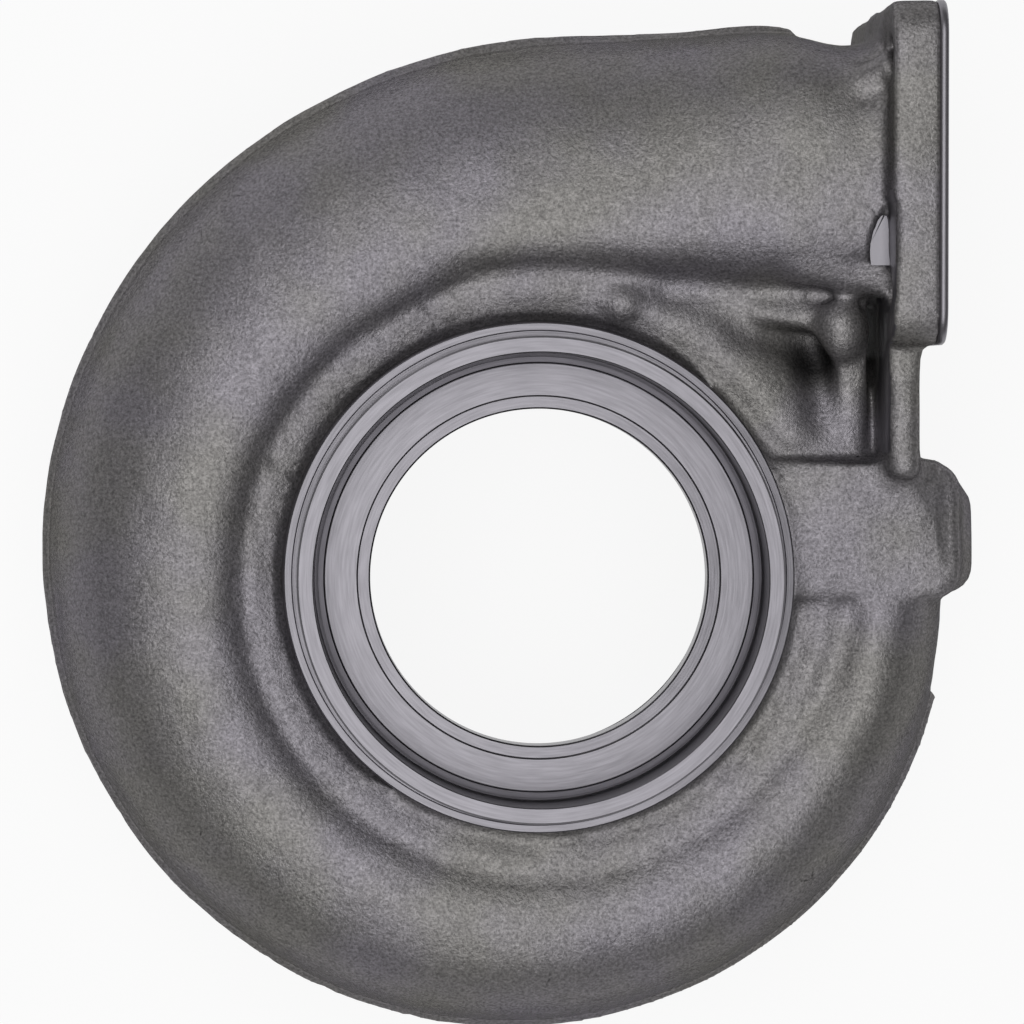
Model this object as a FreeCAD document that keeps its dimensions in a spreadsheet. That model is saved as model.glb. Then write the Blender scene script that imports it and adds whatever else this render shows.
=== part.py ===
import FreeCAD, Part
import Sketcher
import math
import os

# Turbocharger turbine housing, one casting with turned and milled faces.
# Frame: +Z is the turbine axis and points to the exhaust outlet. The origin is
# the middle of the bearing flange face, which the housing stands on. The inlet
# flange faces +X, and the gas runs from it towards -X and round the axis.

DIMENSIONS = {
    # Bearing side, turned about the turbine axis
    "bearing_rim_radius": 84.0,
    "bearing_rim_thickness": 6.0,
    "bearing_neck_radius": 78.5,
    "bearing_neck_height": 12.0,
    "bearing_neck_length": 3.0,
    "bearing_bore_radius": 74.0,
    "bearing_bore_depth": 10.0,
    # Wheel chamber and nozzle, turned or cored about the turbine axis
    "wheel_inlet_radius": 60.0,
    "nozzle_bottom_height": 24.0,
    "nozzle_top_height": 46.0,
    "nozzle_overlap": 3.0,
    "nozzle_mouth_width": 22.0,
    "divider_tip_thickness": 3.0,
    "exducer_radius": 51.5,
    "exducer_land_length": 7.0,
    "exducer_chamfer": 1.2,
    "diffuser_height": 78.0,
    "diffuser_step": 2.0,
    "throat_height": 60.0,
    "throat_step": 5.0,
    # Outlet ring, turned about the turbine axis
    "outlet_face_height": 125.0,
    "outlet_bore_radius": 68.5,
    "outlet_rim_radius": 73.5,
    "outlet_rim_thickness": 6.0,
    "outlet_rim_taper": 5.0,
    "outlet_neck_radius": 71.8,
    "shoulder_height": 107.0,
    "shoulder_radius": 77.6,
    "shoulder_thickness": 6.0,
    "shoulder_foot": 2.0,
    "seat_height": 103.0,
    "lip_radius": 55.5,
    "lip_step": 0.4,
    "lip_depth": 3.5,
    # Hub, the cast middle between the bores and the volute
    "hub_radius": 96.0,
    "hub_bottom_radius": 90.0,
    "hub_bottom_height": 24.0,
    "nozzle_cover_radius": 100.0,
    "nozzle_cover_height": 38.0,
    "hub_top_height": 101.0,
    "ridge_radius": 87.5,
    "ridge_height": 103.0,
    # Volute, a section that shrinks as it goes round
    "volute_plane_height": 65.0,
    "volute_root_radius": 86.0,
    "volute_crest_radius": 105.5,
    "volute_radius_top": 164.8,
    "volute_radius_start": 158.8,
    "volute_radius_end": 127.1,
    "volute_radius_bulge": 1.5,
    "volute_half_width": 45.0,
    "volute_half_width_end": 40.5,
    "tail_radius_end": 119.0,
    "tail_half_width": 27.0,
    "wall_thickness": 6.0,
    "divider_thickness": 6.4,
    # Inlet leg between the volute and the flange
    "leg_top": 167.4,
    "leg_root": 84.0,
    "leg_crest": 118.0,
    "leg_half_width": 50.5,
    # Raised band round the middle of the volute
    "band_height": 2.0,
    "band_width": 14.0,
    "band_start": 80.0,
    # Inlet flange with its divided port
    "flange_face_distance": 121.8,
    "flange_thickness": 16.8,
    "flange_centre": 122.8,
    "flange_width": 104.0,
    "flange_length": 127.0,
    "flange_corner_radius": 11.0,
    "flange_edge_chamfer": 1.5,
    "port_width": 62.0,
    "port_length": 41.0,
    "port_corner_radius": 9.0,
    "port_depth": 8.0,
    "bolt_spacing_width": 69.9,
    "bolt_spacing_length": 95.3,
    "bolt_hole_radius": 5.5,
    "spotface_radius": 14.5,
    "spotface_depth": 0.6,
    "relief_reach": 5.0,
    "relief_wall": 3.0,
    "relief_top": 115.0,
    "relief_widest": 99.5,
    "relief_bottom": 84.0,
    # Neck plate, block and pad between the flange and the outlet ring
    "neck_thickness": 10.4,
    "neck_bottom": 30.0,
    "neck_half_width": 51.0,
    "neck_back_height": 34.0,
    "neck_top_overlap": 12.0,
    "block_start": 72.0,
    "block_end": 129.5,
    "block_bottom": -6.8,
    "block_top": 34.9,
    "block_front_height": 105.0,
    "block_back_height": 48.0,
    "block_chamfer": 5.0,
    "pad_end": 134.5,
    "pad_depth": 10.0,
    "pad_bottom": -4.5,
    "pad_top": 28.0,
    "pad_front_height": 95.0,
    "pad_back_height": 55.0,
    "pad_chamfer": 4.0,
    # Web that closes the corner between the hub, the inlet leg and the block
    "web_height": 100.0,
    "web_back_height": 44.0,
    "web_start": 36.0,
    "web_start_rise": 74.0,
    "web_low_start": 82.0,
    "web_end": 100.5,
    "web_overlap": 8.0,
    "web_pocket_left": 58.0,
    "web_pocket_right": 90.0,
    "web_pocket_top": 79.0,
    "web_pocket_low": 46.0,
    "web_pocket_floor_height": 91.0,
    "web_pocket_floor_width": 11.0,
    "web_pocket_floor_length": 13.0,
    "web_pocket_draft": 2.0,
    "web_groove_radius": 2.5,
    "web_groove_height": 101.0,
    "leg_groove_radius": 4.0,
    "leg_groove_rise": 86.5,
    "leg_groove_height": 103.0,
    "knob_radius": 6.0,
    "knob_distance": 92.2,
    "knob_rise": 76.5,
    "knob_height": 101.0,
}

# Where the volute starts under the leg, straightens, ends and dies away, in degrees
START_ANGLE = 90.0
SIDE_ANGLE = 115.0
END_ANGLE = 357.0
TAIL_ANGLE = 422.0
PASSAGE_TAIL_ANGLE = 400.0
BAND_END_ANGLE = 343.0
# Points round a section, and sections along the leg, the volute and the tail
SKIN_POINTS = 24
ARCH_POINTS = 13
LEG_SECTIONS = 4
VOLUTE_SECTIONS = 15
TAIL_SECTIONS = 5
# Distance along X where the sections of the leg end and the turned ones begin
LEG_START = 24.0
# How square the sections are: 2 is an ellipse, and more is squarer
VOLUTE_SQUARENESS = 2.2
LEG_SQUARENESS = 3.2
# How much sooner than the rest the leg rises and the tail narrows
LEG_TOP_RATE = 2.5
TAIL_WIDTH_RATE = 2.2
# Length that pieces of the blank or of a cut run into each other, in millimetres
OVERLAP = 4.0
CLEAR = 1.0

doc = FreeCAD.newDocument("turbine_housing")
sheet = doc.addObject("Spreadsheet::Sheet", "dimensions")
for row, (alias, number) in enumerate(DIMENSIONS.items(), start=1):
    sheet.set(f"A{row}", alias)
    sheet.set(f"B{row}", str(number))
    sheet.setAlias(f"B{row}", alias)
doc.recompute()


def size(alias):
    """Give one driving dimension as the sheet holds it."""
    return float(sheet.get(alias))


def cell(expression):
    """Write an expression over the sheet's aliases in full."""
    words = []
    for word in expression.split():
        words.append("dimensions." + word if word in DIMENSIONS else word)
    return " ".join(words)


def bind(item, **properties):
    """Bind properties of an object to the sheet. A double underscore is a dot."""
    for name, expression in properties.items():
        item.setExpression(name.replace("__", "."), cell(expression))
    return item


def place(item, x="0", y="0", z="0"):
    """Bind the place of an object to the sheet."""
    return bind(item, Placement__Base__x=x, Placement__Base__y=y, Placement__Base__z=z)


def box(name, x, y, z):
    """Make a box from the low and high expressions of its three sides."""
    item = doc.addObject("Part::Box", name)
    bind(item,
         Length=f"( {x[1]} ) - ( {x[0]} )",
         Width=f"( {y[1]} ) - ( {y[0]} )",
         Height=f"( {z[1]} ) - ( {z[0]} )")
    return place(item, x[0], y[0], z[0])


def rod_along_x(name, radius, x, y, z):
    """Make a cylinder along X from its radius, X limits and centre."""
    item = doc.addObject("Part::Cylinder", name)
    item.Placement = FreeCAD.Placement(
        FreeCAD.Vector(), FreeCAD.Rotation(FreeCAD.Vector(0, 1, 0), 90))
    bind(item, Radius=radius, Height=f"( {x[1]} ) - ( {x[0]} )")
    return place(item, x[0], y, z)


def rounded_along_x(name, base, radius):
    """Round the four edges of a box that run along X."""
    doc.recompute()
    item = doc.addObject("Part::Fillet", name)
    item.Base = base
    item.Edges = [(number, size(radius), size(radius))
                  for number, edge in enumerate(base.Shape.Edges, start=1)
                  if abs(edge.tangentAt(edge.FirstParameter).x) > 0.9]
    return item


def fused(name, shapes):
    """Join shapes and keep the faces as they were made."""
    item = doc.addObject("Part::MultiFuse", name)
    item.Shapes = shapes
    item.Refine = False
    return item


def origin_plane(body, role):
    """Find one of a body's origin planes or axes by its role."""
    return next(item for item in body.Origin.OriginFeatures if item.Role == role)


def outline_sketch(body, name, role, corners):
    """Sketch a closed outline whose corners are bound to the sheet."""
    sketch = body.newObject("Sketcher::SketchObject", name)
    sketch.AttachmentSupport = [(origin_plane(body, role), "")]
    sketch.MapMode = "FlatFace"
    count = len(corners)
    first = [FreeCAD.Vector(100 + 50 * math.cos(2 * math.pi * index / count),
                            100 + 50 * math.sin(2 * math.pi * index / count), 0)
             for index in range(count)]
    for index in range(count):
        sketch.addGeometry(Part.LineSegment(first[index], first[(index + 1) % count]))
    link = Sketcher.Constraint
    for index in range(count):
        sketch.addConstraint(link("Coincident", index, 2, (index + 1) % count, 1))
    for index, (across, up) in enumerate(corners):
        for kind, expression in (("DistanceX", across), ("DistanceY", up)):
            start = first[index].x if kind == "DistanceX" else first[index].y
            number = sketch.addConstraint(link(kind, -1, 1, index, 1, start))
            label = f"{kind}_{index}"
            sketch.renameConstraint(number, label)
            sketch.setExpression("Constraints." + label, cell(expression))
    return sketch


def turned_body(name, corners):
    """Turn a closed outline of radius and height about the turbine axis."""
    body = doc.addObject("PartDesign::Body", name)
    sketch = outline_sketch(body, name + "_outline", "XZ_Plane", corners)
    turn = body.newObject("PartDesign::Revolution", name + "_turn")
    turn.Profile = sketch
    turn.ReferenceAxis = (sketch, ["V_Axis"])
    turn.Angle = 360.0
    return body


def plate_body(name, corners, low, high):
    """Raise a closed outline of X and Y between two heights."""
    body = doc.addObject("PartDesign::Body", name)
    sketch = outline_sketch(body, name + "_outline", "XY_Plane", corners)
    sketch.setExpression("AttachmentOffset.Base.z", cell(low))
    pad = body.newObject("PartDesign::Pad", name + "_pad")
    pad.Profile = sketch
    pad.setExpression("Length", cell(f"( {high} ) - ( {low} )"))
    return body


def blend(first, last, share):
    """Give a value between two, with a share of 0 at the first and 1 at the last."""
    return first + (last - first) * share


def ease(share):
    """Turn a share from 0 to 1 into one that starts and ends gently."""
    return share * share * (3 - 2 * share)


class Station:
    """One section of the volute: where it stands, and its shape there."""

    def __init__(self, shift, angle, root, crest, outer, half_width, squareness):
        self.shift = shift
        self.angle = math.radians(angle)
        self.root = root
        self.crest = crest
        self.outer = outer
        self.half_width = half_width
        self.squareness = squareness

    def point(self, radius, height):
        """Place a point of the section from its radius and height."""
        return FreeCAD.Vector(self.shift + radius * math.cos(self.angle),
                              radius * math.sin(self.angle), height)

    def rim_point(self, turn, inset, base):
        """Give a point of the rounded outline, turned from the outer side."""
        power = self.squareness
        across = math.cos(turn)
        up = math.sin(turn)
        bulge = (abs(across) ** power + abs(up) ** power) ** (-1.0 / power)
        reach = self.outer - self.crest if across > 0 else self.crest - self.root
        radius = self.crest + (reach - inset) * across * bulge
        rise = (self.half_width - inset - base) * up * bulge
        height = size("volute_plane_height") + rise + math.copysign(base, up)
        return self.point(radius, height)

    def skin_wire(self):
        """Close the outline of the casting at this station."""
        points = [self.rim_point(2 * math.pi * index / SKIN_POINTS, 0, 0)
                  for index in range(SKIN_POINTS)]
        curve = Part.BSplineCurve()
        curve.interpolate(Points=points, PeriodicFlag=True)
        return Part.Wire(curve.toShape())

    def passage_wire(self, side):
        """Close the outline of one gas passage, side +1 outlet, -1 bearing."""
        base = size("divider_thickness") / 2
        wall = size("wall_thickness")
        points = [self.rim_point(side * math.pi * index / (ARCH_POINTS - 1), wall, base)
                  for index in range(ARCH_POINTS)]
        points[0].z = points[-1].z = size("volute_plane_height") + side * base
        curve = Part.BSplineCurve()
        curve.interpolate(Points=points)
        floor = Part.LineSegment(points[-1], points[0])
        return Part.Wire([curve.toShape(), floor.toShape()])

    def band_wire(self):
        """Close the outline of the raised band, sunk by its own height."""
        height = size("volute_plane_height")
        half = size("band_width") / 2
        low = self.outer - 2 * size("band_height")
        high = self.outer + size("band_height")
        corners = [self.point(low, height - half), self.point(high, height - half),
                   self.point(high, height + half), self.point(low, height + half)]
        return Part.makePolygon(corners + corners[:1])


def volute_radius(angle):
    """Give the outer radius of the volute, which falls almost evenly past the top."""
    if angle <= SIDE_ANGLE:
        share = (angle - START_ANGLE) / (SIDE_ANGLE - START_ANGLE)
        return blend(size("volute_radius_top"), size("volute_radius_start"), share)
    share = (angle - SIDE_ANGLE) / (END_ANGLE - SIDE_ANGLE)
    bulge = size("volute_radius_bulge") * 4 * share * (1 - share)
    return blend(size("volute_radius_start"), size("volute_radius_end"), share) + bulge


def leg_station(distance):
    """Give the section of the straight inlet leg at a distance along X."""
    share = ease(distance / (size("flange_face_distance") - size("flange_thickness")))
    top_share = min(1.0, LEG_TOP_RATE * share)
    return Station(distance, START_ANGLE,
                   blend(size("volute_root_radius"), size("leg_root"), share),
                   blend(size("volute_crest_radius"), size("leg_crest"), share),
                   blend(size("volute_radius_top"), size("leg_top"), top_share),
                   blend(size("volute_half_width"), size("leg_half_width"), share),
                   blend(VOLUTE_SQUARENESS, LEG_SQUARENESS, share))


def volute_station(angle):
    """Give the section of the volute at an angle about the turbine axis."""
    share = (angle - START_ANGLE) / (END_ANGLE - START_ANGLE)
    return Station(0, angle, size("volute_root_radius"), size("volute_crest_radius"),
                   volute_radius(angle),
                   blend(size("volute_half_width"), size("volute_half_width_end"), share),
                   VOLUTE_SQUARENESS)


def tail_station(angle):
    """Give the section of the tail, which runs in under the inlet leg."""
    share = (angle - END_ANGLE) / (TAIL_ANGLE - END_ANGLE)
    width_share = ease(min(1.0, TAIL_WIDTH_RATE * share))
    return Station(0, angle, size("volute_root_radius"), size("volute_crest_radius"),
                   blend(size("volute_radius_end"), size("tail_radius_end"), share),
                   blend(size("volute_half_width_end"), size("tail_half_width"), width_share),
                   VOLUTE_SQUARENESS)


def spaced(first, last, count):
    """Give evenly spaced numbers from the first to the last."""
    return [blend(first, last, index / (count - 1)) for index in range(count)]


def loft(name, wires):
    """Make a solid through wires and keep it as an object of the document."""
    item = doc.addObject("Part::Feature", name)
    item.Shape = Part.makeLoft(wires, True, False)
    return item


def make_volute():
    """Make the outer skin of leg, volute and tail, and the raised band."""
    flange_back = size("flange_face_distance") - size("flange_thickness")
    leg = [leg_station(distance)
           for distance in spaced(flange_back + OVERLAP, LEG_START, LEG_SECTIONS)]
    ring = [volute_station(angle)
            for angle in spaced(START_ANGLE, END_ANGLE, VOLUTE_SECTIONS)]
    tail = [tail_station(angle) for angle in spaced(END_ANGLE, TAIL_ANGLE, TAIL_SECTIONS)]
    band = [leg_station(distance)
            for distance in spaced(size("band_start"), LEG_START, LEG_SECTIONS - 1)]
    band += [volute_station(angle)
             for angle in spaced(START_ANGLE, BAND_END_ANGLE, VOLUTE_SECTIONS - 1)]
    return [loft("trunk_skin", [station.skin_wire() for station in leg + ring]),
            loft("tail_skin", [station.skin_wire() for station in tail]),
            loft("band", [station.band_wire() for station in band])]


def make_port(word, side):
    """Make one rounded inlet port through the flange, side +1 outlet, -1 bearing."""
    near = f"volute_plane_height + ( {side} ) * divider_thickness / 2"
    far = f"{near} + ( {side} ) * port_length"
    port = box(word + "_port_blank",
               ("flange_face_distance - flange_thickness - port_depth",
                f"flange_face_distance + {CLEAR}"),
               ("flange_centre - port_width / 2", "flange_centre + port_width / 2"),
               (near, far) if side > 0 else (far, near))
    return rounded_along_x(word + "_port", port, "port_corner_radius")


def make_nozzles():
    """Turn the two annular throats that lead from the passages to the wheel."""
    inner = "wheel_inlet_radius - nozzle_overlap"
    outer = "volute_root_radius + wall_thickness + nozzle_overlap"
    middle = "( nozzle_top_height + nozzle_bottom_height ) / 2"
    base = "volute_plane_height"
    half = "divider_thickness / 2"
    reach = "nozzle_mouth_width"
    return [
        turned_body("outlet_nozzle", [
            (inner, f"{middle} + divider_tip_thickness / 2"),
            (outer, f"{base} + {half}"),
            (outer, f"{base} + {reach}"),
            (inner, "nozzle_top_height")]),
        turned_body("bearing_nozzle", [
            (inner, "nozzle_bottom_height"),
            (outer, f"{base} - {reach}"),
            (outer, f"{base} - {half}"),
            (inner, f"{middle} - divider_tip_thickness / 2")]),
    ]


def make_passages():
    """Make the two gas ways, each cored from its port to its nozzle."""
    flange_back = size("flange_face_distance") - size("flange_thickness")
    ways = []
    for side, word, nozzle in zip((1, -1), ("outlet", "bearing"), make_nozzles()):
        leg = [leg_station(distance) for distance
               in spaced(flange_back - size("port_depth"), LEG_START, LEG_SECTIONS)]
        ring = [volute_station(angle)
                for angle in spaced(START_ANGLE, END_ANGLE, VOLUTE_SECTIONS)]
        tail = [tail_station(angle)
                for angle in spaced(END_ANGLE, PASSAGE_TAIL_ANGLE, TAIL_SECTIONS - 1)]
        trunk = [station.passage_wire(side) for station in leg + ring]
        ways.append(fused(word + "_way", [
            loft(word + "_passage", trunk),
            loft(word + "_tail", [station.passage_wire(side) for station in tail]),
            make_port(word, side), nozzle]))
    return ways


def make_core():
    """Turn the hub with the outlet ring, the bores and the bearing flange."""
    return turned_body("core", [
        ("bearing_bore_radius", "0"),
        ("bearing_rim_radius", "0"),
        ("bearing_rim_radius", "bearing_rim_thickness"),
        ("bearing_neck_radius", "bearing_neck_height"),
        ("bearing_neck_radius", "bearing_neck_height + bearing_neck_length"),
        ("hub_bottom_radius", "hub_bottom_height"),
        ("nozzle_cover_radius", "nozzle_cover_height"),
        ("nozzle_cover_radius", "volute_plane_height"),
        ("hub_radius", "volute_plane_height"),
        ("hub_radius", "hub_top_height"),
        ("ridge_radius", "ridge_height"),
        ("shoulder_radius + shoulder_foot",
         "shoulder_height - shoulder_thickness - shoulder_foot / 2"),
        ("shoulder_radius", "shoulder_height - shoulder_thickness"),
        ("shoulder_radius", "shoulder_height"),
        ("outlet_neck_radius", "shoulder_height"),
        ("outlet_neck_radius",
         "outlet_face_height - outlet_rim_thickness - outlet_rim_taper"),
        ("outlet_rim_radius", "outlet_face_height - outlet_rim_thickness"),
        ("outlet_rim_radius", "outlet_face_height"),
        ("outlet_bore_radius", "outlet_face_height"),
        ("outlet_bore_radius", "seat_height"),
        ("lip_radius", "seat_height"),
        ("lip_radius", "seat_height - lip_step"),
        ("exducer_radius + exducer_chamfer", "seat_height - lip_step - exducer_chamfer"),
        ("exducer_radius", "seat_height - lip_depth"),
        ("exducer_radius", "seat_height - lip_depth - exducer_land_length"),
        ("exducer_radius + diffuser_step", "diffuser_height"),
        ("exducer_radius + throat_step", "throat_height"),
        ("wheel_inlet_radius", "nozzle_top_height"),
        ("wheel_inlet_radius", "bearing_bore_depth"),
        ("bearing_bore_radius", "bearing_bore_depth"),
    ])


def make_flange():
    """Make the inlet flange plate with its rounded corners and broken edges."""
    back = "flange_face_distance - flange_thickness"
    plate = box("flange_plate", (back, "flange_face_distance"),
                ("flange_centre - flange_width / 2", "flange_centre + flange_width / 2"),
                ("volute_plane_height - flange_length / 2",
                 "volute_plane_height + flange_length / 2"))
    rounded = rounded_along_x("flange_corners", plate, "flange_corner_radius")
    doc.recompute()
    broken = doc.addObject("Part::Chamfer", "flange")
    broken.Base = rounded
    cut = size("flange_edge_chamfer")
    face = size("flange_face_distance")
    broken.Edges = [(number, cut, cut)
                    for number, edge in enumerate(rounded.Shape.Edges, start=1)
                    if abs(edge.BoundBox.XMin - face) < 0.01
                    and abs(edge.BoundBox.XMax - face) < 0.01]
    faced = doc.addObject("Part::Cut", "faced_flange")
    faced.Base = broken
    faced.Tool = fused("spot_faces", [
        rod_along_x(name + "_spot_face", "spotface_radius",
                    (f"{back} - {CLEAR}", f"{back} + spotface_depth"), middle, height)
        for name, middle, height in bolt_places()])
    faced.Refine = False
    return faced


def bolt_places():
    """Give the name, Y and Z of the four flange bolts."""
    return [(f"{side_word}_{row_word}",
             f"flange_centre {row} bolt_spacing_width / 2",
             f"volute_plane_height {side} bolt_spacing_length / 2")
            for side_word, side in (("outlet", "+"), ("bearing", "-"))
            for row_word, row in (("upper", "+"), ("lower", "-"))]


def make_bolting():
    """Make the four bolt holes, and the milled reliefs beside the lower spot faces."""
    back = "flange_face_distance - flange_thickness"
    tools = [rod_along_x(name + "_bolt_hole", "bolt_hole_radius",
                         (f"{back} - {CLEAR}", f"flange_face_distance + {CLEAR}"),
                         middle, height)
             for name, middle, height in bolt_places()]
    for side_word, side in (("outlet", "+"), ("bearing", "-")):
        floor = (f"volute_plane_height {side} divider_thickness / 2 {side} port_length"
                 f" {side} relief_wall")
        clear = f"volute_plane_height {side} flange_length / 2 {side} {CLEAR}"
        corners = [(f"{back} - {CLEAR}", "relief_top"), (f"{back} - relief_reach", "relief_widest"),
                   (f"{back} - {CLEAR}", "relief_bottom"), (f"{back} + spotface_depth", "relief_bottom"),
                   (f"{back} + spotface_depth", "relief_top")]
        low, high = (floor, clear) if side == "+" else (clear, floor)
        tools.append(plate_body(side_word + "_relief", corners, low, high))
    return fused("bolting", tools)


def chamfered(name, base, amount, wanted):
    """Chamfer the edges of a box that a test picks."""
    doc.recompute()
    item = doc.addObject("Part::Chamfer", name)
    item.Base = base
    item.Edges = [(number, amount, amount)
                  for number, edge in enumerate(base.Shape.Edges, start=1) if wanted(edge)]
    return item


def make_bracket():
    """Make the neck plate below the flange, the block and its pad."""
    back = "flange_face_distance - flange_thickness"
    neck = box("neck_plate", (back, f"{back} + neck_thickness"),
               ("neck_bottom", "flange_centre - flange_width / 2 + neck_top_overlap"),
               ("neck_back_height", "volute_plane_height + neck_half_width"))
    block = box("block_blank", ("block_start", "block_end"), ("block_bottom", "block_top"),
                ("block_back_height", "block_front_height"))
    end = size("block_end")
    block = chamfered("block", block, size("block_chamfer"),
                      lambda edge: edge.BoundBox.XMin > end - 0.01
                      and edge.BoundBox.YLength < 0.01)
    pad = box("pad_blank", ("block_end - pad_depth", "pad_end"), ("pad_bottom", "pad_top"),
              ("pad_back_height", "pad_front_height"))
    pad_end = size("pad_end")
    pad = chamfered("pad", pad, size("pad_chamfer"),
                    lambda edge: edge.BoundBox.XMin > pad_end - 0.01)
    return [neck, block, pad]


def triangle(left, right, low, top, height):
    """Close a three-cornered outline with its square corner at the upper right."""
    corners = [FreeCAD.Vector(left, top, height), FreeCAD.Vector(right, top, height),
               FreeCAD.Vector(right, low, height)]
    return Part.makePolygon(corners + corners[:1])


def make_web():
    """Make the web in the corner between hub, leg and block, and the knob on it."""
    web = plate_body("web", [
        ("web_start", "web_start_rise"),
        ("web_low_start", "block_top - web_overlap"),
        ("web_end", "block_top - web_overlap"),
        ("web_end", "leg_root + web_overlap"),
        ("web_start", "leg_root + web_overlap")],
        "web_back_height", "web_height")
    knob = doc.addObject("Part::Sphere", "knob")
    bind(knob, Radius="knob_radius")
    place(knob, "knob_distance", "knob_rise", "knob_height")
    return [web, knob]


def make_web_relief():
    """Make the three-sided pocket in the web and the grooves along leg and block."""
    right = size("web_pocket_right") - size("web_pocket_draft")
    top = size("web_pocket_top") - size("web_pocket_draft")
    mouth = triangle(size("web_pocket_left"), size("web_pocket_right"),
                     size("web_pocket_low"), size("web_pocket_top"),
                     size("web_height") + CLEAR)
    floor = triangle(right - size("web_pocket_floor_width"), right,
                     top - size("web_pocket_floor_length"), top,
                     size("web_pocket_floor_height"))
    pocket = doc.addObject("Part::Feature", "web_pocket")
    pocket.Shape = Part.makeLoft([floor, mouth], True, True)
    leg_groove = rod_along_x("leg_groove", "leg_groove_radius",
                             ("web_start", "web_end - web_overlap"),
                             "leg_groove_rise", "leg_groove_height")
    block_groove = rod_along_x("block_groove", "web_groove_radius",
                               ("web_low_start - web_overlap", f"web_end + {CLEAR}"),
                               "block_top + web_groove_radius", "web_groove_height")
    return fused("web_relief", [pocket, leg_groove, block_groove])


def check(items):
    """Stop if an object failed or the finished piece isn't a sound solid."""
    for item in items:
        if "Invalid" in item.State or "Error" in item.State:
            raise RuntimeError(item.Label + " failed: " + ", ".join(item.State))


housing = fused("blank", make_volute() + [make_core(), make_flange()]
                + make_bracket() + make_web())
for tool in make_passages() + [make_bolting(), make_web_relief()]:
    cut = doc.addObject("Part::Cut", "housing_less_" + tool.Label)
    cut.Base = housing
    cut.Tool = tool
    cut.Refine = False
    housing = cut
housing.Label = "turbine_housing"
doc.recompute()

check(doc.Objects)
shape = housing.Shape
if shape.isNull() or not shape.isValid() or len(shape.Solids) != 1:
    raise RuntimeError("turbine_housing is not one sound solid")
os.makedirs("parts", exist_ok=True)
shape.exportStep(os.path.join("parts", housing.Label + ".step"))
bounds = shape.BoundBox
print("turbine_housing", [round(number, 1) for number in (
    bounds.XMin, bounds.YMin, bounds.ZMin, bounds.XMax, bounds.YMax, bounds.ZMax)],
    "litres", round(shape.Volume / 1e6, 3))
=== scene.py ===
import math

import bmesh
import bpy
import numpy as np
import openvdb
from mathutils import Matrix, Vector


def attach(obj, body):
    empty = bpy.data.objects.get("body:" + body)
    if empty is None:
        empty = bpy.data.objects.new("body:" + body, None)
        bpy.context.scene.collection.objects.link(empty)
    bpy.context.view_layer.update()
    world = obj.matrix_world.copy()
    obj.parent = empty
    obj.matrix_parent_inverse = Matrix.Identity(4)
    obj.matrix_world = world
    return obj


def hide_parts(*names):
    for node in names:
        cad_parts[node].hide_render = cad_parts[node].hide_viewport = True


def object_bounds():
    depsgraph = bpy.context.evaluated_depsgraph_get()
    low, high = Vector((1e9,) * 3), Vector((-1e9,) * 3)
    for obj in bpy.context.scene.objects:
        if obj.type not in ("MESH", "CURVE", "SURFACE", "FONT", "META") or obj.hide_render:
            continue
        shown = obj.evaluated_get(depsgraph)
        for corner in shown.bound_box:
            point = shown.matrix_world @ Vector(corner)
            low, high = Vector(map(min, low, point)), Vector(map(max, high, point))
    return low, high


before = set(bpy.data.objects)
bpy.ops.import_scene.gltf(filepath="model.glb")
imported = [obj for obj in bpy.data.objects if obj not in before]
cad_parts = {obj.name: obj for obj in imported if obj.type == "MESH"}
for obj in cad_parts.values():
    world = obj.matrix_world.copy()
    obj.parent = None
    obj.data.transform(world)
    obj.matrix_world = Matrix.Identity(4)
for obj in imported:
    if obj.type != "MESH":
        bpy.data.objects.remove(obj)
cad_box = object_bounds()

# Shapes are in millimetres and degrees on the frame's axes, and lights and camera in metres.
# The turbine axis is Z, the bearing flange's face is at height 0, and the inlet looks along X
MM = 0.001
SEED = 7

# Grid that the cast skin is worked out on
VOXEL = 1.15
BAND_VOXELS = 6
MARGIN_VOXELS = 6
SEAM = 0.002
BLUR_CUTOFF = 2.5
ADAPTIVITY = 0.05
BOX_CLEARANCE = 0.05

# Casting: mid height is the plane of the divider, half way up the volute and the flange.
# The flange and the raised band round the volute keep crisper edges than the rest
MID_HEIGHT = 65.0
FILLET = 2.3
FLANGE_ZONE = ((98.5, 60, -5), (130, 180, 135))
FLANGE_CRISPNESS = 0.55
BAND_HALF_HEIGHT = 11
BAND_INNER_RADIUS = 124
WAVE_SPAN = 14.0
WAVE_DEPTH = 0.28
RIPPLE_SPAN = 5.0
RIPPLE_DEPTH = 0.1

# Crest of the volute's inner flank, which falls as the volute goes round
CREST_RADIUS = 98.3
CREST_HEIGHT = 108.3
CREST_FALL = 4.5
CREST_START = 90
CREST_TURN = 267
CREST_ROUND = 6.0
CREST_SUNK = 7.6

# Inlet flange, milled on its front, with two ports and four bolt holes
FLANGE_FRONT = 121.8
FLANGE_MIDDLE = 122.8
FLANGE_WIDTH = 104.0
FLANGE_LENGTH = 127.0
FLANGE_CORNER = 11.0
FACE_THICKNESS = 2.6
FACE_BEVEL = 1.1
FACE_WELD = 0.01
PORT_WIDTH = 62.0
PORT_LENGTH = 41.0
PORT_CORNER = 9.0
PORT_RISE = 23.7
BOLT_ASIDE = 34.95
BOLT_RISE = 47.65
BOLT_HOLE_RADIUS = 5.5

# Spot faces on the flange's back: X, Y, distance from mid height, and the X of their normal
SPOT_FACE_PLANE = (104, 106.3)
SPOT_FACE_UP = (38, 116)
SPOT_FACE_ASIDE = (30, 62.5)
FACING_BACK = -0.7

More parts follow.
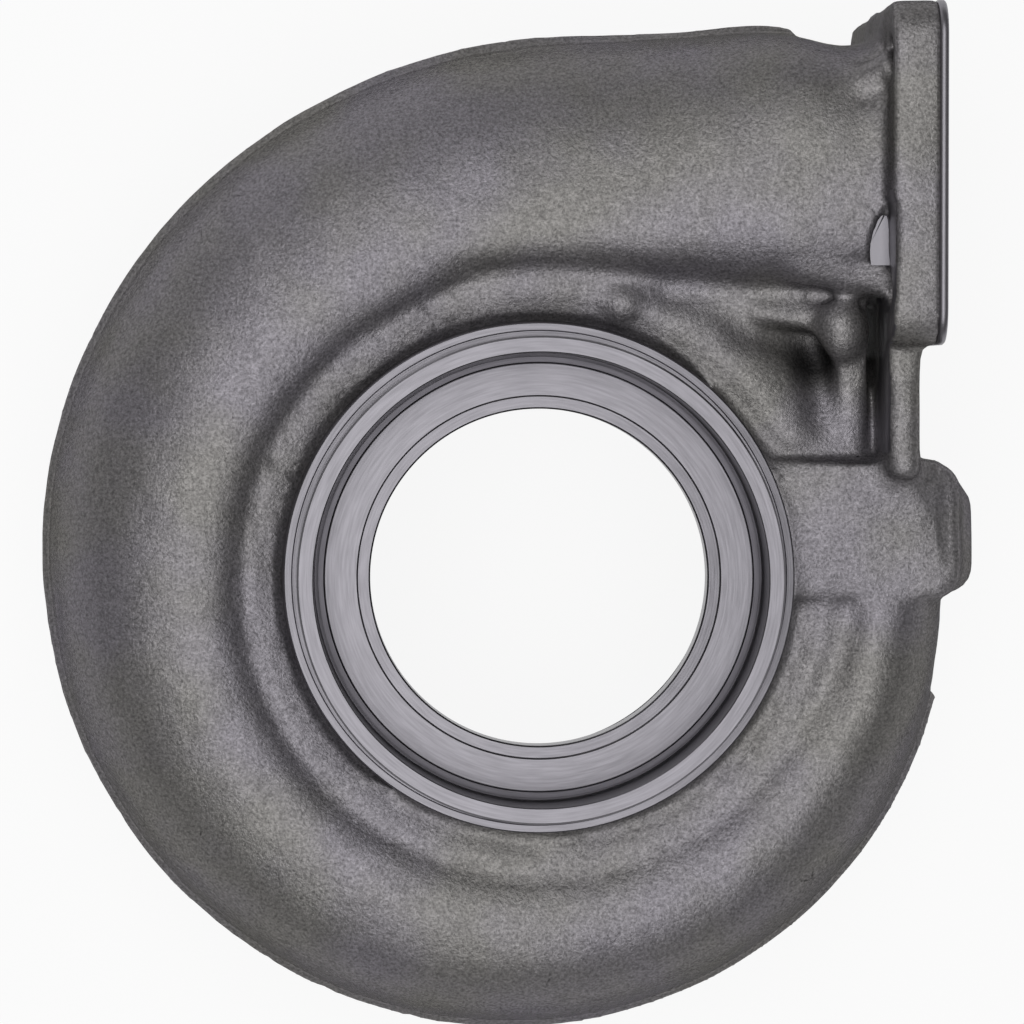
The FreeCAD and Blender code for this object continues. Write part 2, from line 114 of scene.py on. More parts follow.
# Lens that the facing cutter left in the leg beside each lower bolt
CUTTER_X = 122.0
CUTTER_Y = 99.0
CUTTER_RADIUS = 22.0
LENS_EDGE = 106.0
LENS_FOOT = 95.5
LENS_SINK = 0.9
LENS_FLOOR_BACK = 106.2
LENS_FLOOR_LOW = 95.0
LENS_FLOOR_RISE = 20.0
LENS_FLOOR_ASIDE = (44.3, 47.3)

# Radius and height round the outlet: the front, the bore's wall, then the seat and the lip
OUTLET_FRONT = [
    (79.0, 95.0), (78.0, 104.5), (77.8, 106.6), (77.4, 107.0), (75.5, 107.15), (75.3, 106.95),
    (75.1, 107.2), (73.2, 107.2), (72.5, 107.5), (72.0, 108.2), (71.8, 109.2), (71.8, 115.0),
    (73.5, 119.0), (73.5, 124.4), (72.9, 125.0), (68.8, 125.0)]
OUTLET_BORE = [(68.5, 124.7), (68.5, 97.0), (67.3, 97.0), (67.3, 102.1), (65.8, 102.1)]
OUTLET_SEAT = [
    (65.5, 102.7), (65.2, 102.8), (55.7, 103.0), (55.4, 102.7), (55.4, 102.3), (55.2, 102.1),
    (52.0, 102.3), (51.5, 101.8), (51.5, 92.0), (52.5, 84.0), (55.0, 84.0), (58.0, 95.0)]

# Radius and height round the bearing flange, with its rim, its pilot bore and its seat
BEARING_FLANGE = [
    (74.4, 0.0), (83.5, 0.0), (84.0, 0.5), (84.0, 6.0), (78.5, 11.5), (78.5, 15.0),
    (70.0, 16.0), (58.5, 16.0), (59.0, 10.5), (60.5, 10.0), (73.6, 10.0), (74.0, 9.6),
    (74.0, 0.4)]

# Radius, lowest and highest point of each disc that the turned pieces stand in
TURNED_ROOMS = ((77.0, 95.0, 140.0), (54.0, 80.0, 140.0), (90.0, -20.0, 13.0))
MILLED_ROOM = ((119.6, 60, -5), (125, 180, 135))

# Steps round a full turn, a rounded corner, a bolt hole and the cutter's edge, and the
# angle from which an edge of a turned piece is sharp
TURN_STEPS = 288
CORNER_STEPS = 8
HOLE_STEPS = 32
LENS_STEPS = 12
SHARP_ANGLE = 10

# Colour sockets of a Mix node, whose names its other kinds of socket share
MIX_A = 6
MIX_B = 7
MIX_RESULT = 2

# Noise of each finish, as its number of features in a metre
GRAINS_PER_METRE = 1100.0
SAND_PER_METRE = 330.0
STAINS_PER_METRE = 24.0
FEED_PER_METRE = 2000.0
STREAKS_PER_METRE = 1500.0
MILL_MARKS_PER_METRE = (2.0, 1600.0, 30.0)

# Metres of noise in one radian about the axis, which makes a streak about 10 mm long
STREAK_TURN = 0.004

# Painted shade in the hollow of the web, in metres as the shader has them
HOLLOW_SHADE_MIDDLE = (0.0855, 0.0665, 0.094)
HOLLOW_SHADE_INNER = 0.003
HOLLOW_SHADE_OUTER = 0.0135

FLOOR_HALF = 3000
FLOOR_HEIGHT = -0.2
CAMERA_PLACE = (-0.0495, 0.0581, 1.425)
CAMERA_BACK = (-0.0312, 0.0288, 1.0)


def linear(colour):
    """Turn an sRGB hex colour into linear RGBA."""
    parts = [int(colour[start:start + 2], 16) / 255 for start in (1, 3, 5)]
    return [part / 12.92 if part <= 0.04045 else ((part + 0.055) / 1.055) ** 2.4
            for part in parts] + [1.0]


def add(tree, kind, settings=None, inputs=None, **attributes):
    """Add a node with its attributes, plain values and links by socket name or number."""
    node = tree.nodes.new(kind)
    for name, value in attributes.items():
        setattr(node, name, value)
    for name, value in (settings or {}).items():
        node.inputs[name].default_value = value
    for name, socket in (inputs or {}).items():
        tree.links.new(socket, node.inputs[name])
    return node


def new_material(name):
    """Start a material with its shader and output."""
    material = bpy.data.materials.new(name)
    material.use_nodes = True
    tree = material.node_tree
    tree.nodes.clear()
    shader = add(tree, "ShaderNodeBsdfPrincipled")
    add(tree, "ShaderNodeOutputMaterial", inputs={"Surface": shader.outputs["BSDF"]})
    return material, tree, shader


def shot_blasted_grey_iron():
    """Sand-cast grey iron, shot blasted: a dull grey with fine bright grains."""
    material, tree, shader = new_material("shot_blasted_grey_iron")
    place = add(tree, "ShaderNodeTexCoord").outputs["Object"]
    # Grains are 0.4 mm, drawn at 0.9 mm so that they show
    grain = add(tree, "ShaderNodeTexNoise",
                {"Scale": GRAINS_PER_METRE, "Detail": 3.0, "Roughness": 0.7}, {"Vector": place})
    # Skin of the sand mould, about 3 mm
    skin = add(tree, "ShaderNodeTexNoise", {"Scale": SAND_PER_METRE, "Detail": 3.0},
               {"Vector": place})
    # Stains of heat and oil, about 40 mm, which change the grey only a little
    stain = add(tree, "ShaderNodeTexNoise", {"Scale": STAINS_PER_METRE, "Detail": 2.0},
                {"Vector": place})
    tint = add(tree, "ShaderNodeValToRGB", inputs={"Fac": stain.outputs["Fac"]})
    for stop, (position, colour) in zip(tint.color_ramp.elements,
                                        ((0.35, "#817f7d"), (0.62, "#848186"))):
        stop.position = position
        stop.color = linear(colour)
    spread = add(tree, "ShaderNodeMapRange",
                 {"From Min": 0.3, "From Max": 0.72, "To Min": 0.6, "To Max": 1.62},
                 {"Value": grain.outputs["Fac"]})
    speckled = add(tree, "ShaderNodeMix", {"Factor": 1.0},
                   {MIX_A: tint.outputs["Color"], MIX_B: spread.outputs["Result"]},
                   data_type="RGBA", blend_type="MULTIPLY")
    # Painted shade that darkens the hollow of the web and thins out over about 10 mm
    away = add(tree, "ShaderNodeVectorMath", {1: HOLLOW_SHADE_MIDDLE}, {0: place}, operation="DISTANCE")
    hollow_shade = add(tree, "ShaderNodeMapRange",
               {"From Min": HOLLOW_SHADE_INNER, "From Max": HOLLOW_SHADE_OUTER, "To Min": 0.14, "To Max": 1.0},
               {"Value": away.outputs["Value"]}, interpolation_type="SMOOTHSTEP")
    hollow_shaded = add(tree, "ShaderNodeMix", {"Factor": 1.0},
                 {MIX_A: speckled.outputs[MIX_RESULT], MIX_B: hollow_shade.outputs["Result"]},
                 data_type="RGBA", blend_type="MULTIPLY")
    tree.links.new(hollow_shaded.outputs[MIX_RESULT], shader.inputs["Base Color"])
    shader.inputs["Metallic"].default_value = 0.8
    shader.inputs["Specular Tint"].default_value = (0.02, 0.02, 0.02, 1)
    rough = add(tree, "ShaderNodeMapRange",
                {"From Min": 0.3, "From Max": 0.7, "To Min": 0.4, "To Max": 0.52},
                {"Value": skin.outputs["Fac"]})
    tree.links.new(rough.outputs["Result"], shader.inputs["Roughness"])
    sand = add(tree, "ShaderNodeBump", {"Strength": 0.35, "Distance": 0.0006},
               {"Height": skin.outputs["Fac"]})
    relief = add(tree, "ShaderNodeBump", {"Strength": 0.8, "Distance": 0.0003},
                 {"Height": grain.outputs["Fac"], "Normal": sand.outputs["Normal"]})
    tree.links.new(relief.outputs["Normal"], shader.inputs["Normal"])
    return material


def turned_iron(name, colour, roughness):
    """Iron cut on a lathe, with fine rings: bright where faced, and a darker copy on the bore's
    wall that is painted shade.
    """
    material, tree, shader = new_material(name)
    place = add(tree, "ShaderNodeTexCoord").outputs["Object"]
    parts = add(tree, "ShaderNodeSeparateXYZ", inputs={"Vector": place})
    flat = add(tree, "ShaderNodeCombineXYZ",
               inputs={"X": parts.outputs["X"], "Y": parts.outputs["Y"]})
    radius = add(tree, "ShaderNodeVectorMath", inputs={0: flat.outputs["Vector"]},
                 operation="LENGTH")
    ring = add(tree, "ShaderNodeCombineXYZ",
               inputs={"X": radius.outputs["Value"], "Z": parts.outputs["Z"]})
    # Tool feed of 0.15 mm, drawn at 0.5 mm so that it shows
    feed = add(tree, "ShaderNodeTexNoise", {"Scale": FEED_PER_METRE, "Detail": 2.0},
               {"Vector": ring.outputs["Vector"]})
    # Streaks of the tool and scuffs of handling, 0.7 mm across and about 10 mm long
    bearing = add(tree, "ShaderNodeVectorMath", inputs={0: flat.outputs["Vector"]},
                  operation="NORMALIZE")
    slow = add(tree, "ShaderNodeVectorMath", {"Scale": STREAK_TURN},
               {0: bearing.outputs["Vector"]}, operation="SCALE")
    outward = add(tree, "ShaderNodeCombineXYZ", inputs={"Z": radius.outputs["Value"]})
    path = add(tree, "ShaderNodeVectorMath",
               inputs={0: slow.outputs["Vector"], 1: outward.outputs["Vector"]},
               operation="ADD")
    tone = add(tree, "ShaderNodeTexNoise", {"Scale": STREAKS_PER_METRE, "Detail": 3.0},
               {"Vector": path.outputs["Vector"]})
    shade = add(tree, "ShaderNodeMapRange",
                {"From Min": 0.3, "From Max": 0.7, "To Min": 0.86, "To Max": 1.14},
                {"Value": tone.outputs["Fac"]})
    streaked = add(tree, "ShaderNodeMix", {"Factor": 1.0, MIX_A: linear(colour)},
                   {MIX_B: shade.outputs["Result"]}, data_type="RGBA", blend_type="MULTIPLY")
    tree.links.new(streaked.outputs[MIX_RESULT], shader.inputs["Base Color"])
    shader.inputs["Metallic"].default_value = 1.0
    shader.inputs["Roughness"].default_value = roughness
    relief = add(tree, "ShaderNodeBump", {"Strength": 0.25, "Distance": 0.0001},
                 {"Height": feed.outputs["Fac"]})
    tree.links.new(relief.outputs["Normal"], shader.inputs["Normal"])
    return material


def milled_iron():
    """Iron faced on a mill: bright, with straight cutter marks 0.6 mm apart."""
    material, tree, shader = new_material("milled_iron")
    place = add(tree, "ShaderNodeTexCoord").outputs["Object"]
    stretch = add(tree, "ShaderNodeMapping", {"Scale": MILL_MARKS_PER_METRE}, {"Vector": place})
    marks = add(tree, "ShaderNodeTexNoise", {"Scale": 1.0, "Detail": 2.0},
                {"Vector": stretch.outputs["Vector"]})
    shader.inputs["Base Color"].default_value = linear("#858388")
    shader.inputs["Metallic"].default_value = 1.0
    shader.inputs["Roughness"].default_value = 0.4
    relief = add(tree, "ShaderNodeBump", {"Strength": 0.25, "Distance": 0.0001},
                 {"Height": marks.outputs["Fac"]})
    tree.links.new(relief.outputs["Normal"], shader.inputs["Normal"])
    return material


def new_object(name, content):
    """Put a mesh, curve, lamp or camera in the scene as an object."""
    item = bpy.data.objects.new(name, content)
    bpy.context.scene.collection.objects.link(item)
    return item


def new_piece(name, points, faces, material):
    """Make a smooth-shaded mesh object from points in millimetres."""
    mesh = bpy.data.meshes.new(name)
    mesh.from_pydata([tuple(point) for point in points], [], faces)
    mesh.transform(Matrix.Scale(MM, 4))
    mesh.update()
    mesh.materials.append(material)
    mesh.polygons.foreach_set("use_smooth", [True] * len(mesh.polygons))
    return new_object(name, mesh)


def turned_piece(name, runs):
    """Turn a closed outline about the turbine axis, from runs that have a material each."""
    outline = [point for run, _ in runs for point in run]
    materials = [material for run, material in runs for _ in run]
    points = []
    for step in range(TURN_STEPS):
        turn = 2 * math.pi * step / TURN_STEPS
        points += [(radius * math.cos(turn), radius * math.sin(turn), height)
                   for radius, height in outline]
    count = len(outline)
    faces = []
    for step in range(TURN_STEPS):
        here = step * count
        there = (step + 1) % TURN_STEPS * count
        for index in range(count):
            after = (index + 1) % count
            faces.append((here + index, there + index, there + after, here + after))
    piece = new_piece(name, points, faces, materials[0])
    slots = [materials[0]]
    for material in materials:
        if material not in slots:
            slots.append(material)
            piece.data.materials.append(material)
    numbers = [slots.index(material) for material in materials]
    piece.data.polygons.foreach_set("material_index", numbers * TURN_STEPS)
    piece.data.set_sharp_from_angle(angle=math.radians(SHARP_ANGLE))
    return piece


def cad_surface(node):
    """Read a CAD node's points in millimetres and its triangles, with its seams closed."""
    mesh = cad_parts[node].data
    mesh.calc_loop_triangles()
    points = np.empty(len(mesh.vertices) * 3, np.float32)
    mesh.vertices.foreach_get("co", points)
    points = points.reshape(-1, 3) / MM
    corners = np.empty(len(mesh.loop_triangles) * 3, np.int32)
    mesh.loop_triangles.foreach_get("vertices", corners)
    _, first, same = np.unique(np.round(points / SEAM).astype(np.int64), axis=0,
                               return_index=True, return_inverse=True)
    return points[first], same.reshape(-1)[corners].reshape(-1, 3).astype(np.uint32)


def softened(field, reach):
    """Blur a field evenly, which rounds the edges and fills the corners in it."""
    width = int(math.ceil(BLUR_CUTOFF * reach))
    shifts = range(-width, width + 1)
    shares = np.array([math.exp(-0.5 * (shift / reach) ** 2) for shift in shifts])
    shares /= shares.sum()
    for axis in range(3):
        total = np.zeros_like(field)
        for shift, share in zip(shifts, shares):
            total += np.float32(share) * np.roll(field, shift, axis)
        field = total
    return field


def joined(first, second, blend):
    """Join two distance fields with a fillet about as large as blend."""
    share = np.clip(0.5 + 0.5 * (second - first) / blend, 0, 1)
    return second + (first - second) * share - blend * share * (1 - share)


def carved(first, second, blend):
    """Take the second distance field out of the first, with rounded edges."""
    return -joined(-first, second, blend)


def inside(form, fade):
    """Give 1 inside a distance field and 0 outside it, with a soft change between."""
    return np.clip(0.5 - form / fade, 0, 1)


class Iron:
    """The casting as a distance field on a grid in millimetres, negative in the iron."""

    def __init__(self, node):
        points, triangles = cad_surface(node)
        self.low = np.floor(points.min(0) / VOXEL).astype(int) - MARGIN_VOXELS
        high = np.ceil(points.max(0) / VOXEL).astype(int) + MARGIN_VOXELS
        grid = openvdb.FloatGrid.createLevelSetFromPolygons(
            points, triangles=triangles, halfWidth=float(BAND_VOXELS),
            transform=openvdb.createLinearTransform(voxelSize=VOXEL))
        self.field = np.zeros(tuple((high - self.low).tolist()), np.float32)
        grid.copyToArray(self.field, ijk=tuple(self.low.tolist()))
        self.x, self.y, self.z = np.ogrid[tuple(
            slice(0, count) for count in self.field.shape)]
        self.x = (self.x + self.low[0]).astype(np.float32) * VOXEL
        self.y = (self.y + self.low[1]).astype(np.float32) * VOXEL
        self.z = (self.z + self.low[2]).astype(np.float32) * VOXEL

    def join(self, form, blend):
        """Add a form with a fillet."""
        self.field = joined(self.field, form, blend)

    def carve(self, form, blend):
        """Cut a form out with rounded edges."""
        self.field = carved(self.field, form, blend)

    def clear(self, form):
        """Cut a form out sharply."""
        self.field = np.maximum(self.field, -form)

    def ball(self, centre, radii):
        """Give the distance field of a ball with its own radius each way."""
        scaled = [(axis - middle) / radius for axis, middle, radius
                  in zip((self.x, self.y, self.z), centre, radii)]
        length = np.sqrt(scaled[0] ** 2 + scaled[1] ** 2 + scaled[2] ** 2)
        return (length - 1) * np.float32(min(radii))

    def rod(self, start, end, radius):
        """Give the distance field of a round-ended rod."""
        start = np.array(start, np.float32)
        along = np.array(end, np.float32) - start
        offset = [self.x - start[0], self.y - start[1], self.z - start[2]]
        share = sum(part * step for part, step in zip(offset, along)) / float(along @ along)
        share = np.clip(share, 0, 1)
        gap = [part - share * step for part, step in zip(offset, along)]
        return np.sqrt(gap[0] ** 2 + gap[1] ** 2 + gap[2] ** 2) - np.float32(radius)

    def slab(self, normal, point):
        """Give the distance field of everything behind a plane."""
        normal = np.array(normal, np.float32)
        normal /= np.linalg.norm(normal)
        return ((self.x - point[0]) * normal[0] + (self.y - point[1]) * normal[1]
                + (self.z - point[2]) * normal[2])

    def pillar(self, radius, low, high):
        """Give the distance field of a disc about the turbine axis."""
        side = np.sqrt(self.x ** 2 + self.y ** 2) - np.float32(radius)
        return np.maximum(side, np.maximum(low - self.z, self.z - high))

    def block(self, low, high):
        """Give the distance field of a box."""
        faces = [np.maximum(near - axis, axis - far) for axis, near, far
                 in zip((self.x, self.y, self.z), low, high)]
        return np.maximum(np.maximum(faces[0], faces[1]), faces[2])

    def hoop(self, radius, height, thickness):
        """Give the distance field of a ring about the turbine axis."""
        across = np.sqrt(self.x ** 2 + self.y ** 2) - np.float32(radius)
        return np.sqrt(across ** 2 + (self.z - height) ** 2) - np.float32(thickness)

    def angle(self):
        """Give the angle round the turbine axis, from X towards Y."""
        return np.degrees(np.arctan2(self.y, self.x)) % 360

    def beyond(self, first, last, fade, rise=14):
        """Grow slowly from 0 outside a range of angles, so that a form ends softly there."""
        angle = self.angle()
        past = np.maximum(first - angle, angle - last)
        return np.clip(past / fade, 0, 1) ** 2 * np.float32(rise)

    def unevenness(self, span, depth, seed):
        """Give smooth random waves of a span and a depth, the same each time."""
        # One spare point before the grid, and enough after it for the next one to be there
        counts = [int(count * VOXEL / span) + 4 for count in self.field.shape]
        coarse = np.random.default_rng(seed).uniform(-1, 1, counts).astype(np.float32)
        for axis, count in enumerate(self.field.shape):
            place = np.arange(count) * VOXEL / span + 1
            cell = place.astype(int)
            share = (place - cell).astype(np.float32)
            share = share * share * (3 - 2 * share)
            shape = [1, 1, 1]
            shape[axis] = count
            share = share.reshape(shape)
            coarse = (np.take(coarse, cell, axis) * (1 - share)
                      + np.take(coarse, cell + 1, axis) * share)
        return coarse * np.float32(depth)

    def surface(self):
        """Give the points in millimetres and the faces of the casting's skin."""
        grid = openvdb.FloatGrid(float(VOXEL * BAND_VOXELS))
        grid.copyFromArray(self.field, ijk=tuple(self.low.tolist()))
        grid.transform = openvdb.createLinearTransform(voxelSize=VOXEL)
        points, triangles, quads = grid.convertToPolygons(isovalue=0.0, adaptivity=ADAPTIVITY)
        faces = [tuple(face) for face in triangles.tolist()] + [
            tuple(face) for face in quads.tolist()]
        return points, faces

    def outward(self, points):
        """Give the direction straight out of the iron at points on its skin."""
        place = points / VOXEL - self.low
        cell = np.floor(place).astype(int)
        share = (place - cell).astype(np.float32)
        slopes = np.gradient(self.field)
        result = np.zeros((len(points), 3), np.float32)
        for corner in ((i, j, k) for i in (0, 1) for j in (0, 1) for k in (0, 1)):
            weight = np.prod(np.where(corner, share, 1 - share), axis=1)
            spot = tuple((cell + corner).T)
            for axis, slope in enumerate(slopes):
                result[:, axis] += weight * slope[spot]
        return result / np.linalg.norm(result, axis=1, keepdims=True)


def round_the_edges(iron):
    """Give the casting its fillets, smaller at the flange and none at the raised band."""
    crisp = iron.field
    soft = softened(crisp, FILLET / VOXEL)
    flange = inside(iron.block(*FLANGE_ZONE), fade=4)
    far = np.sqrt(iron.x ** 2 + iron.y ** 2)
    band = inside(np.maximum(np.abs(iron.z - MID_HEIGHT) - BAND_HALF_HEIGHT,
                             BAND_INNER_RADIUS - far), fade=3)
    keep = np.maximum(flange * FLANGE_CRISPNESS, band)
    iron.field = crisp * keep + soft * (1 - keep)


def shape_volute(iron):
    """Shape the volute's inner flank and the moat between it and the turned shoulder."""
    # The flank rises fast from the moat and then lies almost flat
    crest = CREST_HEIGHT - CREST_FALL * np.clip((iron.angle() - CREST_START) / CREST_TURN, 0, 1)
    flank = iron.hoop(CREST_RADIUS, crest - CREST_SUNK, CREST_ROUND)
    iron.join(flank + iron.beyond(122, 325, fade=36), blend=5.0)
    moat = iron.hoop(radius=77.0, height=100.6, thickness=2.4)
    iron.carve(moat + iron.beyond(62, 222, fade=40), blend=3.0)


def shape_web(iron):
    """Shape the web between leg and hub, with its hollow, and the small marks beside it."""
    # Hollow, soft and three-cornered: its top is filled, and two grooves draw its corners out
    iron.join(iron.rod((68, 79, 97.0), (87, 78, 97.0), radius=3.0), blend=6.0)
    iron.carve(iron.rod((62, 76, 103.5), (84, 70, 96.0), radius=2.0), blend=6.0)
    iron.carve(iron.rod((84, 66, 97), (87, 50, 102.5), radius=2.0), blend=7.0)
    # Foot of the leg, which comes down towards the flange, and the crease under it
    iron.join(iron.rod((80, 94.5, 103.5), (103, 90.5, 103.5), radius=4.0), blend=5.0)
    iron.carve(iron.rod((84, 85.5, 101.5), (101, 82.5, 100.5), radius=1.8), blend=3.0)
    # Knob on the web, and the pattern's locating bump on the ridge of the hub
    iron.join(iron.ball((92.8, 75.5, 101.8), radii=(6.4, 8.6, 4.6)), blend=5.0)
    iron.join(iron.ball((25.4, 83.1, 101.2), radii=(4.5, 4.5, 3.0)), blend=3.0)


def shape_leg_and_neck(iron):
    """Sweep the leg's corners out to the flange, and run the neck out over the block."""
    for side in (1, -1):
        corner = iron.rod((97, 150, MID_HEIGHT + side * 40), (105, 156, MID_HEIGHT + side * 45),
                          radius=3.6)
        iron.join(corner, blend=5.0)
    # The run-out is a low roof that falls away on three sides
    run_out = iron.block((72, -4, 95), (121, 34.5, 118))
    for normal, point in (((0, -0.214, 1), (0, 35, 110.5)),
                          ((-0.25, 0, 1), (84, 0, 105)),
                          ((0.45, 0, 1), (123, 0, 105))):
        run_out = np.maximum(run_out, iron.slab(normal, point))
    iron.join(run_out, blend=3.5)


def leave_room(iron):
    """Sink the skin at the lens, clear it for the other pieces, and keep it in the CAD box."""
    cutter = np.sqrt((iron.x - CUTTER_X) ** 2 + (iron.y - CUTTER_Y) ** 2) - CUTTER_RADIUS
    lens = np.maximum(np.maximum(cutter, iron.x - LENS_EDGE), LENS_FOOT - iron.y)
    iron.field += LENS_SINK * inside(lens, fade=0.8)
    for radius, low, high in TURNED_ROOMS:
        iron.clear(iron.pillar(radius, low, high))
    iron.clear(iron.block(*MILLED_ROOM))
    low, high = (np.array(corner) / MM for corner in cad_box)
    iron.field = np.maximum(iron.field, iron.block(low + BOX_CLEARANCE, high - BOX_CLEARANCE))


def mark_spot_faces(mesh):
    """Give the milled material, the second one, to the spot faces on the flange's back."""
    middles = np.empty(len(mesh.polygons) * 3, np.float32)
    mesh.polygons.foreach_get("center", middles)
    across, up, height = (middles.reshape(-1, 3) / MM).T
    outward = np.empty(len(mesh.polygons) * 3, np.float32)
    mesh.polygons.foreach_get("normal", outward)
    milled = outward.reshape(-1, 3)[:, 0] < FACING_BACK
    for values, (low, high) in ((across, SPOT_FACE_PLANE), (up, SPOT_FACE_UP),
                                (np.abs(height - MID_HEIGHT), SPOT_FACE_ASIDE)):
        milled &= (values > low) & (values < high)
    mesh.polygons.foreach_set("material_index", milled.astype(np.int32))


def make_casting(material, milled_material):
    """Make the cast skin: the CAD solid with casting fillets and its small forms."""
    iron = Iron("turbine_housing")
    round_the_edges(iron)
    shape_volute(iron)
    shape_web(iron)
    shape_leg_and_neck(iron)
    iron.field += (iron.unevenness(WAVE_SPAN, WAVE_DEPTH, SEED)
                   + iron.unevenness(RIPPLE_SPAN, RIPPLE_DEPTH, SEED + 1))
    leave_room(iron)
    points, faces = iron.surface()
    mesh = bpy.data.meshes.new("cast_skin")
    mesh.from_pydata((points * MM).tolist(), [], faces)
    mesh.update()
    mesh.materials.append(material)
    mesh.materials.append(milled_material)
    mark_spot_faces(mesh)
    mesh.polygons.foreach_set("use_smooth", [True] * len(mesh.polygons))
    piece = new_object("cast_skin", mesh)
    mesh.normals_split_custom_set_from_vertices(iron.outward(points).tolist())
    return piece


def rounded_outline(across, up, radius):
    """Give the points of a rectangle with rounded corners about its middle."""
    points = []
    for corner, (side, rise) in enumerate(((1, 1), (-1, 1), (-1, -1), (1, -1))):
        for step in range(CORNER_STEPS + 1):
            turn = math.pi / 2 * (corner + step / CORNER_STEPS)
            points.append((side * (across / 2 - radius) + radius * math.cos(turn),
                           rise * (up / 2 - radius) + radius * math.sin(turn)))
    return points


def flange_outlines():
    """Give the outlines of the flange's front, its two ports and its four bolt holes."""
    outlines = [rounded_outline(FLANGE_WIDTH, FLANGE_LENGTH, FLANGE_CORNER)]
    for side in (-1, 1):
        outlines.append([(across, up + side * PORT_RISE) for across, up
                         in rounded_outline(PORT_WIDTH, PORT_LENGTH, PORT_CORNER)])
        for row in (-1, 1):
            turns = [2 * math.pi * step / HOLE_STEPS for step in range(HOLE_STEPS)]
            outlines.append([(row * BOLT_ASIDE + BOLT_HOLE_RADIUS * math.cos(turn),
                              side * BOLT_RISE + BOLT_HOLE_RADIUS * math.sin(turn))
                             for turn in turns])
    return outlines


def make_gasket_face(material):
    """Make the milled front of the inlet flange, bevelled all round."""
    curve = bpy.data.curves.new("inlet_gasket_face", "CURVE")
    curve.dimensions = "2D"
    curve.fill_mode = "BOTH"
    for outline in flange_outlines():
        line = curve.splines.new("POLY")
        line.points.add(len(outline) - 1)
        for point, (across, up) in zip(line.points, outline):
            point.co = (across * MM, up * MM, 0, 1)
        line.use_cyclic_u = True
    curve.extrude = (FACE_THICKNESS / 2 - FACE_BEVEL / 2) * MM
    curve.bevel_depth = FACE_BEVEL / 2 * MM
    curve.bevel_resolution = 0
    curve.offset = -FACE_BEVEL / 2 * MM
    holder = new_object("holder", curve)
    bpy.context.view_layer.update()
    mesh = bpy.data.meshes.new_from_object(holder)
    bpy.data.objects.remove(holder)
    mesh.name = "inlet_gasket_face"
    # Across runs along Y, up runs along Z, and the face looks along X
    mesh.transform(Matrix(((0, 0, 1, (FLANGE_FRONT - FACE_THICKNESS / 2) * MM),
                           (1, 0, 0, FLANGE_MIDDLE * MM),
                           (0, 1, 0, MID_HEIGHT * MM),
                           (0, 0, 0, 1))))
    welded = bmesh.new()
    welded.from_mesh(mesh)
    bmesh.ops.remove_doubles(welded, verts=welded.verts, dist=FACE_WELD * MM)
    bmesh.ops.recalc_face_normals(welded, faces=welded.faces)
    welded.to_mesh(mesh)
    welded.free()
    mesh.materials.clear()
    mesh.materials.append(material)
    return new_object("inlet_gasket_face", mesh)


def make_cutter_floor(name, side, material):
    """Make the milled floor of the lens that the cutter left beside one lower bolt."""
    points = [(LENS_FLOOR_BACK, LENS_FLOOR_LOW + LENS_FLOOR_RISE),
              (LENS_FLOOR_BACK, LENS_FLOOR_LOW)]
    for step in range(LENS_STEPS + 1):
        up = LENS_FLOOR_LOW + LENS_FLOOR_RISE * step / LENS_STEPS
        points.append((CUTTER_X - math.sqrt(CUTTER_RADIUS ** 2 - (up - CUTTER_Y) ** 2), up))
    count = len(points)
    heights = sorted(MID_HEIGHT + side * aside for aside in LENS_FLOOR_ASIDE)
    corners = [(across, up, height) for height in heights for across, up in points]
    faces = [tuple(range(count)), tuple(reversed(range(count, 2 * count)))]
    for index in range(count):
        after = (index + 1) % count
        faces.append((index, index + count, after + count, after))
    piece = new_piece(name, corners, faces, material)
    piece.data.polygons.foreach_set("use_smooth", [False] * len(faces))
    return piece


def make_floor():
    """Lay a plain pale floor under the housing."""
    material, tree, shader = new_material("matt_white_board")
    shader.inputs["Base Color"].default_value = linear("#f4f4f4")
    shader.inputs["Roughness"].default_value = 0.9
    # The board shows near white to the eye and in gloss, and keeps the shadow
    ray = add(tree, "ShaderNodeLightPath")
    seen = add(tree, "ShaderNodeMath", operation="MAXIMUM",
               inputs={0: ray.outputs["Is Camera Ray"], 1: ray.outputs["Is Glossy Ray"]})
    either = add(tree, "ShaderNodeMath", operation="MAXIMUM",
                 inputs={0: seen.outputs["Value"], 1: ray.outputs["Is Transmission Ray"]})
    share = add(tree, "ShaderNodeMath", {1: 0.9}, {0: either.outputs["Value"]},
                operation="MULTIPLY")
    glow = add(tree, "ShaderNodeEmission", {"Color": (1, 1, 1, 1), "Strength": 1.0})
    blend = add(tree, "ShaderNodeMixShader", inputs={
        0: share.outputs["Value"], 1: shader.outputs["BSDF"], 2: glow.outputs["Emission"]})
    output = next(node for node in tree.nodes if node.type == "OUTPUT_MATERIAL")
    tree.links.new(blend.outputs["Shader"], output.inputs["Surface"])
    corners = [(side * FLOOR_HALF, rise * FLOOR_HALF, FLOOR_HEIGHT)
               for side, rise in ((-1, -1), (1, -1), (1, 1), (-1, 1))]
    floor = new_piece("floor", corners, [(0, 1, 2, 3)], material)


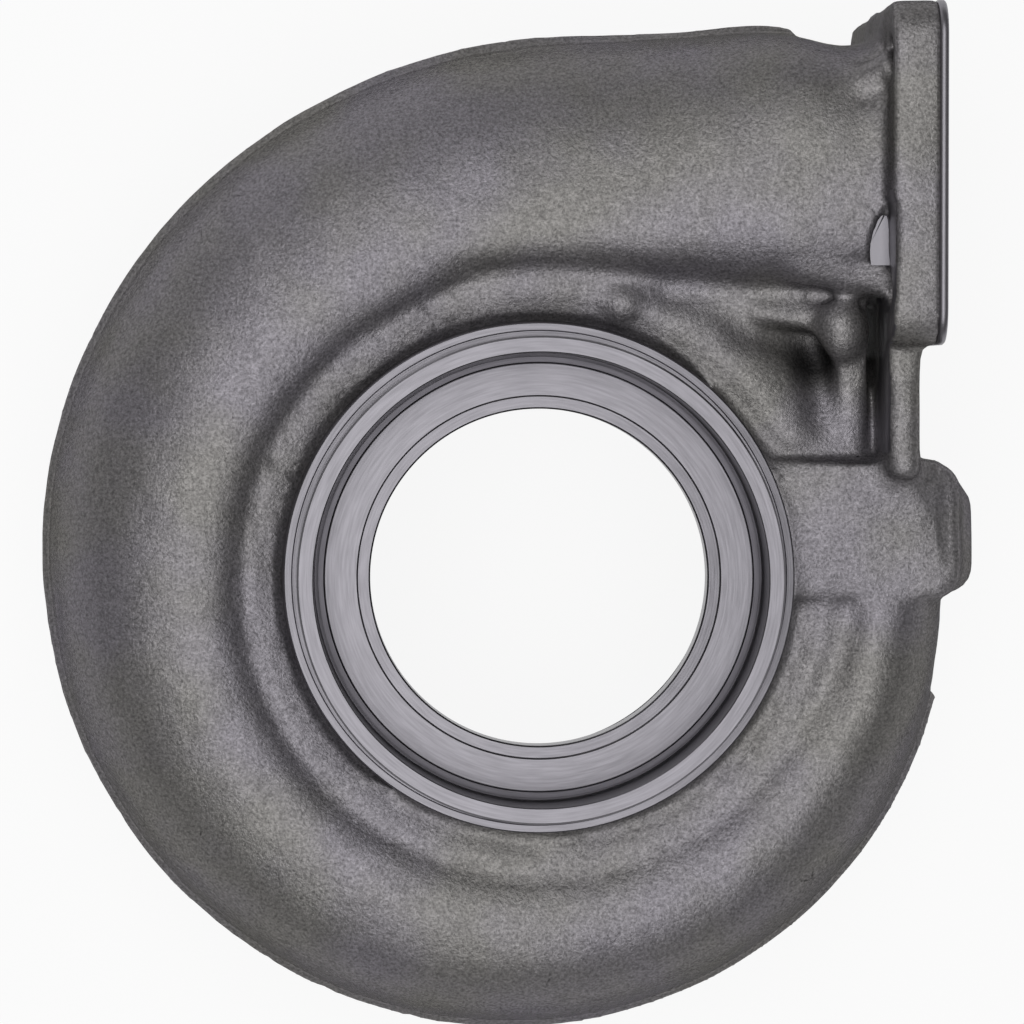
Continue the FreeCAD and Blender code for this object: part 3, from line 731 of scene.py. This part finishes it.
def add_lamp(name, place, target, width, height, power):
    """Hang a soft box at a place, turned to a target, in metres and watts."""
    lamp = bpy.data.lights.new(name, "AREA")
    lamp.shape = "RECTANGLE"
    lamp.size = width
    lamp.size_y = height
    lamp.energy = power
    item = new_object(name, lamp)
    item.location = place
    item.rotation_euler = (Vector(target) - Vector(place)).to_track_quat("-Z", "Y").to_euler()


def light_the_stage():
    """Light from above with soft boxes and a dim even room."""
    add_lamp("top_box", (-0.13, -0.25, 1.9), target=(-0.13, -0.25, 0),
             width=1.25, height=2.9, power=26)
    add_lamp("side_box", (-0.94, 1.63, 0.7), target=(0, 0, 0), width=1.2, height=1.2, power=2.5)
    world = bpy.data.worlds.new("room")
    world.use_nodes = True
    bpy.context.scene.world = world
    back = world.node_tree.nodes["Background"]
    back.inputs["Color"].default_value = (1, 1, 1, 1)
    back.inputs["Strength"].default_value = 0.17


def set_camera():
    """Stand the camera where the photograph was taken from, with its top towards Y."""
    camera = bpy.data.cameras.new("camera")
    camera.lens = 152.6
    camera.sensor_width = 36.0
    camera.clip_end = 20
    item = new_object("camera", camera)
    item.location = CAMERA_PLACE
    back = Vector(CAMERA_BACK).normalized()
    right = Vector((0, 1, 0)).cross(back).normalized()
    item.rotation_euler = Matrix((right, back.cross(right), back)).transposed().to_euler()
    bpy.context.scene.camera = item


cast_iron = shot_blasted_grey_iron()
turned = turned_iron("turned_iron", "#7a787d", 0.34)
# A darker copy of the turned iron for the bore's wall: painted shade inside the bore
painted_shade_bore = turned_iron("bore_iron_painted_shade", "#5a585d", 0.34)
milled = milled_iron()
casting = make_casting(cast_iron, milled)
for piece in (casting,
              turned_piece("outlet_ring", ((OUTLET_FRONT, turned), (OUTLET_BORE, painted_shade_bore),
                                           (OUTLET_SEAT, turned))),
              turned_piece("bearing_ring", ((BEARING_FLANGE, turned),)),
              make_gasket_face(milled),
              make_cutter_floor("front_cutter_floor", 1, milled),
              make_cutter_floor("rear_cutter_floor", -1, milled)):
    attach(piece, "root")
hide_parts("turbine_housing")
make_floor()
light_the_stage()
set_camera()
bpy.context.scene.view_settings.view_transform = "Standard"
